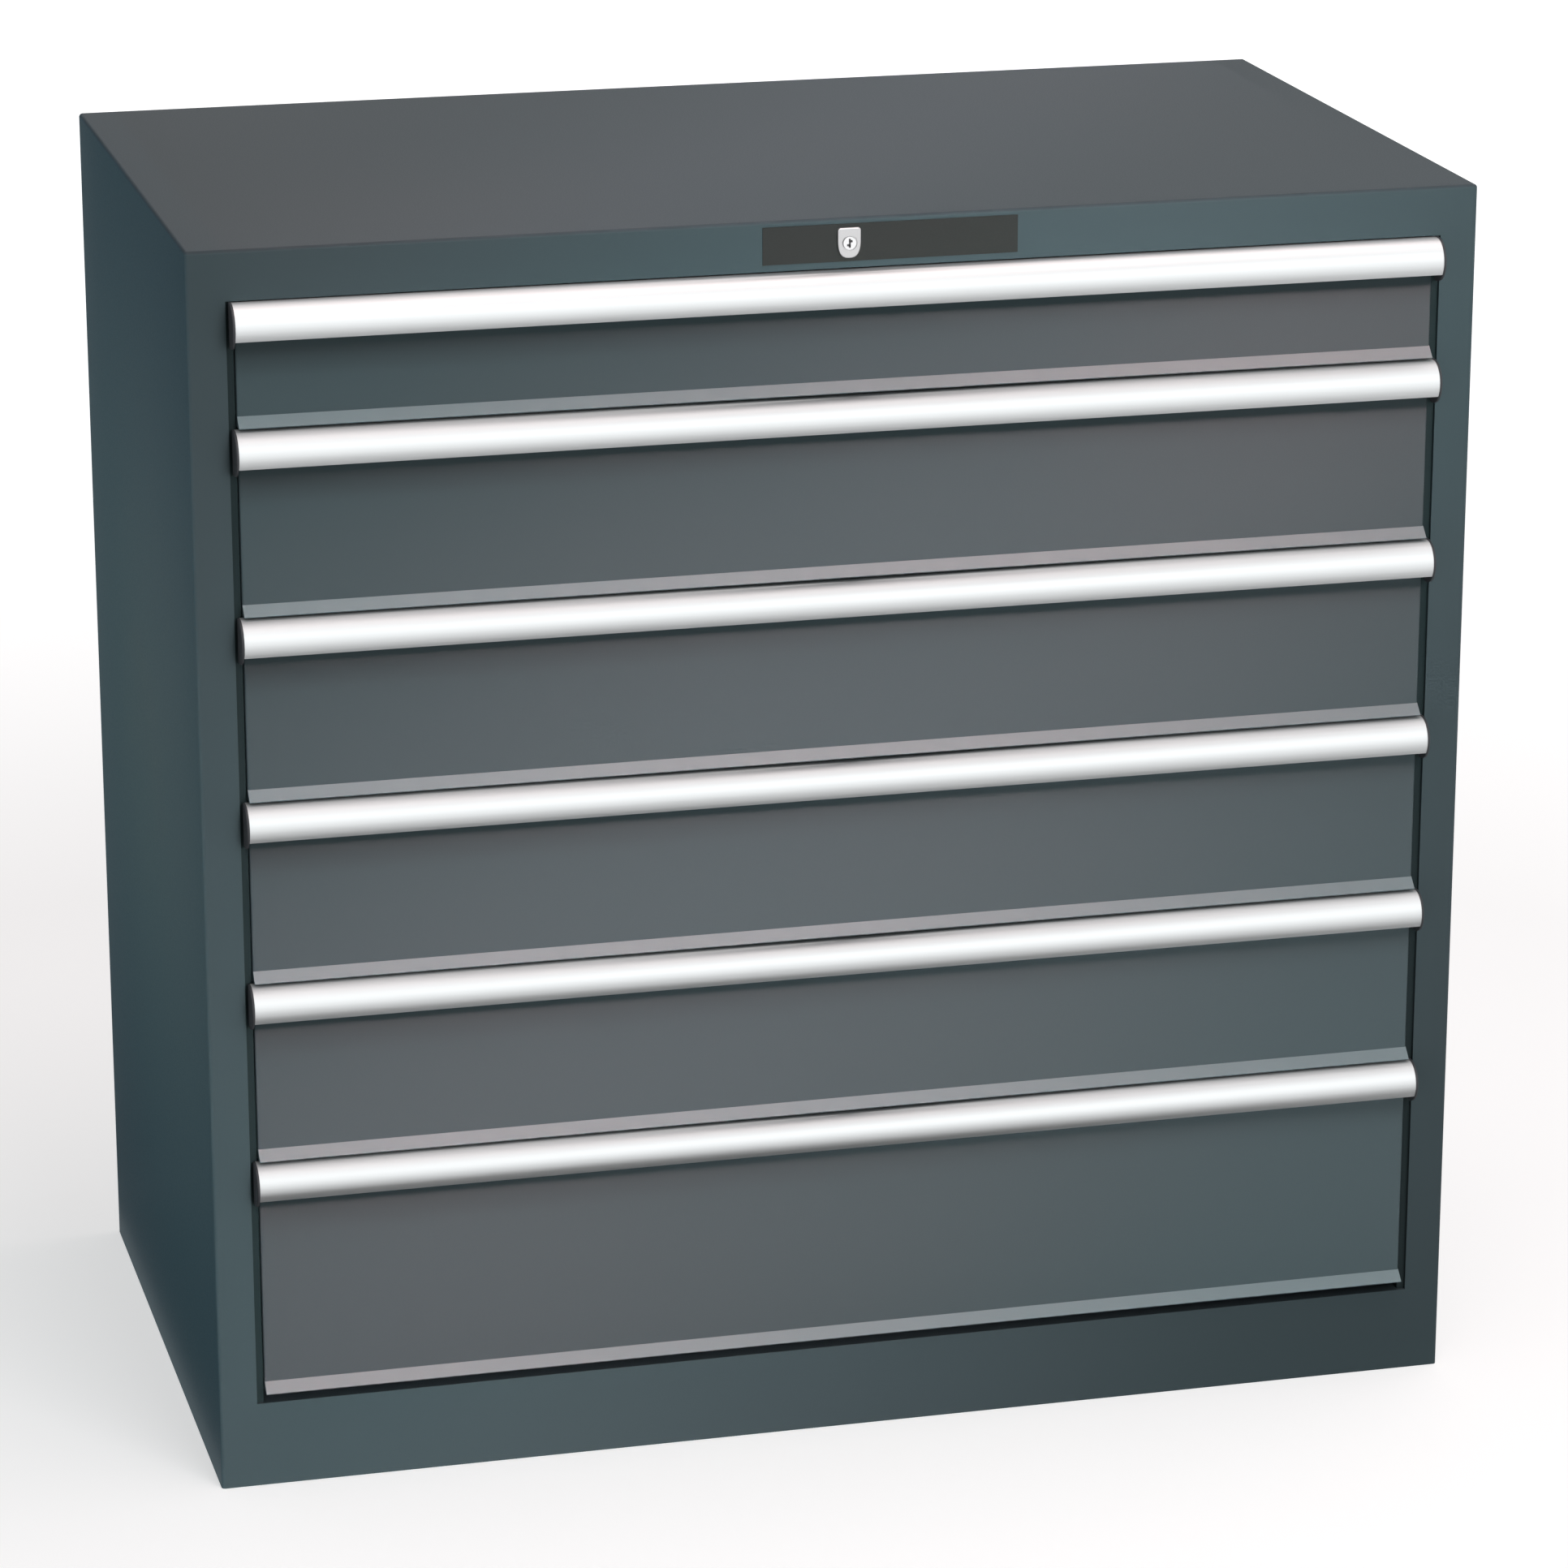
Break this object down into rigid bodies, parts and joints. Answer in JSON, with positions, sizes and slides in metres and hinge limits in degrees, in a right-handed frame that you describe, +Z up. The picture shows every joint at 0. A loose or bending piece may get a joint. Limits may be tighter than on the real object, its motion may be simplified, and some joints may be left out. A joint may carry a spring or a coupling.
{
  "type": "multi-drawer cabinet",
  "caption": "Floor-standing steel drawer cabinet with full-width aluminium handle rails, telescopic drawers and a keyed lock that bars them from behind.",
  "frame": {"origin": "on the floor, in the middle of the outer box, handles included", "axes": "+X to the right as seen from the front, drawers open towards -Y, +Z up"},
  "size_m": [1.023, 0.593, 1],
  "materials": {
    "housing_paint": "satin powder coat, anthracite",
    "front_paint": "satin powder coat, anthracite",
    "tray_paint": "satin powder coat, light grey",
    "zinc_steel": "zinc plated",
    "rail_steel": "black zinc plated",
    "handle_aluminium": "satin anodised",
    "cap_plastic": "matt moulded",
    "cover_plastic": "matt moulded",
    "lock_chrome": "satin nickel",
    "guide_plastic": "natural acetal"
  },
  "bodies": {
    "housing": {"left_side_panel": "housing_paint", "right_side_panel": "housing_paint", "top_panel": "housing_paint", "back_panel": "housing_paint", "plinth_panel": "housing_paint", "base_panel": "housing_paint", "front_left_upright": "housing_paint", "front_right_upright": "housing_paint", "rear_left_upright": "housing_paint", "rear_right_upright": "housing_paint", "lock_cover": "cover_plastic", "lock_body": "lock_chrome", "lock_shaft_bracket": "zinc_steel", "lock_bar_guides": "guide_plastic", "drawer_1_fixed_rails": "rail_steel", "drawer_2_fixed_rails": "rail_steel", "drawer_3_fixed_rails": "rail_steel", "drawer_4_fixed_rails": "rail_steel", "drawer_5_fixed_rails": "rail_steel", "drawer_6_fixed_rails": "rail_steel"},
    "drawer_1": {"drawer_1_tray": "tray_paint", "drawer_1_front": "front_paint", "drawer_1_handle": "handle_aluminium", "drawer_1_handle_caps": "cap_plastic", "drawer_1_drawer_rails": "rail_steel"},
    "drawer_1_middle": {"drawer_1_middle_rails": "rail_steel"},
    "drawer_2": {"drawer_2_tray": "tray_paint", "drawer_2_front": "front_paint", "drawer_2_handle": "handle_aluminium", "drawer_2_handle_caps": "cap_plastic", "drawer_2_drawer_rails": "rail_steel"},
    "drawer_2_middle": {"drawer_2_middle_rails": "rail_steel"},
    "drawer_3": {"drawer_3_tray": "tray_paint", "drawer_3_front": "front_paint", "drawer_3_handle": "handle_aluminium", "drawer_3_handle_caps": "cap_plastic", "drawer_3_drawer_rails": "rail_steel"},
    "drawer_3_middle": {"drawer_3_middle_rails": "rail_steel"},
    "drawer_4": {"drawer_4_tray": "tray_paint", "drawer_4_front": "front_paint", "drawer_4_handle": "handle_aluminium", "drawer_4_handle_caps": "cap_plastic", "drawer_4_drawer_rails": "rail_steel"},
    "drawer_4_middle": {"drawer_4_middle_rails": "rail_steel"},
    "drawer_5": {"drawer_5_tray": "tray_paint", "drawer_5_front": "front_paint", "drawer_5_handle": "handle_aluminium", "drawer_5_handle_caps": "cap_plastic", "drawer_5_drawer_rails": "rail_steel"},
    "drawer_5_middle": {"drawer_5_middle_rails": "rail_steel"},
    "drawer_6": {"drawer_6_tray": "tray_paint", "drawer_6_front": "front_paint", "drawer_6_handle": "handle_aluminium", "drawer_6_handle_caps": "cap_plastic", "drawer_6_drawer_rails": "rail_steel"},
    "drawer_6_middle": {"drawer_6_middle_rails": "rail_steel"},
    "lock_rotor": {"lock_cylinder": "lock_chrome", "lock_shaft": "zinc_steel", "lock_crank": "zinc_steel"},
    "lock_slider": {"lock_bar": "zinc_steel"}
  },
  "joints": [
    {"name": "drawer_1_slide", "type": "slide", "parent": "housing", "child": "drawer_1", "axis": [0, -1, 0], "range_m": [0, 0.465]},
    {"name": "drawer_1_middle_slide", "type": "slide", "parent": "housing", "child": "drawer_1_middle", "axis": [0, -1, 0], "range_m": [0, 0.2325]},
    {"name": "drawer_2_slide", "type": "slide", "parent": "housing", "child": "drawer_2", "axis": [0, -1, 0], "range_m": [0, 0.465]},
    {"name": "drawer_2_middle_slide", "type": "slide", "parent": "housing", "child": "drawer_2_middle", "axis": [0, -1, 0], "range_m": [0, 0.2325]},
    {"name": "drawer_3_slide", "type": "slide", "parent": "housing", "child": "drawer_3", "axis": [0, -1, 0], "range_m": [0, 0.465]},
    {"name": "drawer_3_middle_slide", "type": "slide", "parent": "housing", "child": "drawer_3_middle", "axis": [0, -1, 0], "range_m": [0, 0.2325]},
    {"name": "drawer_4_slide", "type": "slide", "parent": "housing", "child": "drawer_4", "axis": [0, -1, 0], "range_m": [0, 0.465]},
    {"name": "drawer_4_middle_slide", "type": "slide", "parent": "housing", "child": "drawer_4_middle", "axis": [0, -1, 0], "range_m": [0, 0.2325]},
    {"name": "drawer_5_slide", "type": "slide", "parent": "housing", "child": "drawer_5", "axis": [0, -1, 0], "range_m": [0, 0.465]},
    {"name": "drawer_5_middle_slide", "type": "slide", "parent": "housing", "child": "drawer_5_middle", "axis": [0, -1, 0], "range_m": [0, 0.2325]},
    {"name": "drawer_6_slide", "type": "slide", "parent": "housing", "child": "drawer_6", "axis": [0, -1, 0], "range_m": [0, 0.465]},
    {"name": "drawer_6_middle_slide", "type": "slide", "parent": "housing", "child": "drawer_6_middle", "axis": [0, -1, 0], "range_m": [0, 0.2325]},
    {"name": "lock_turn", "type": "hinge", "parent": "housing", "child": "lock_rotor", "pos_m": [0, -0.2755, 0.98075], "axis": [0, -1, 0], "range_deg": [0, 90]},
    {"name": "lock_bar_lift", "type": "slide", "parent": "housing", "child": "lock_slider", "axis": [0, 0, 1], "range_m": [0, 0.01202]}
  ],
  "couplings": [
    {"joint": "drawer_1_middle_slide", "follows": "drawer_1_slide", "ratio": 0.5},
    {"joint": "drawer_2_middle_slide", "follows": "drawer_2_slide", "ratio": 0.5},
    {"joint": "drawer_3_middle_slide", "follows": "drawer_3_slide", "ratio": 0.5},
    {"joint": "drawer_4_middle_slide", "follows": "drawer_4_slide", "ratio": 0.5},
    {"joint": "drawer_5_middle_slide", "follows": "drawer_5_slide", "ratio": 0.5},
    {"joint": "drawer_6_middle_slide", "follows": "drawer_6_slide", "ratio": 0.5},
    {"joint": "lock_turn", "follows": "lock_bar_lift", "rad_per_m": 130.67}
  ]
}
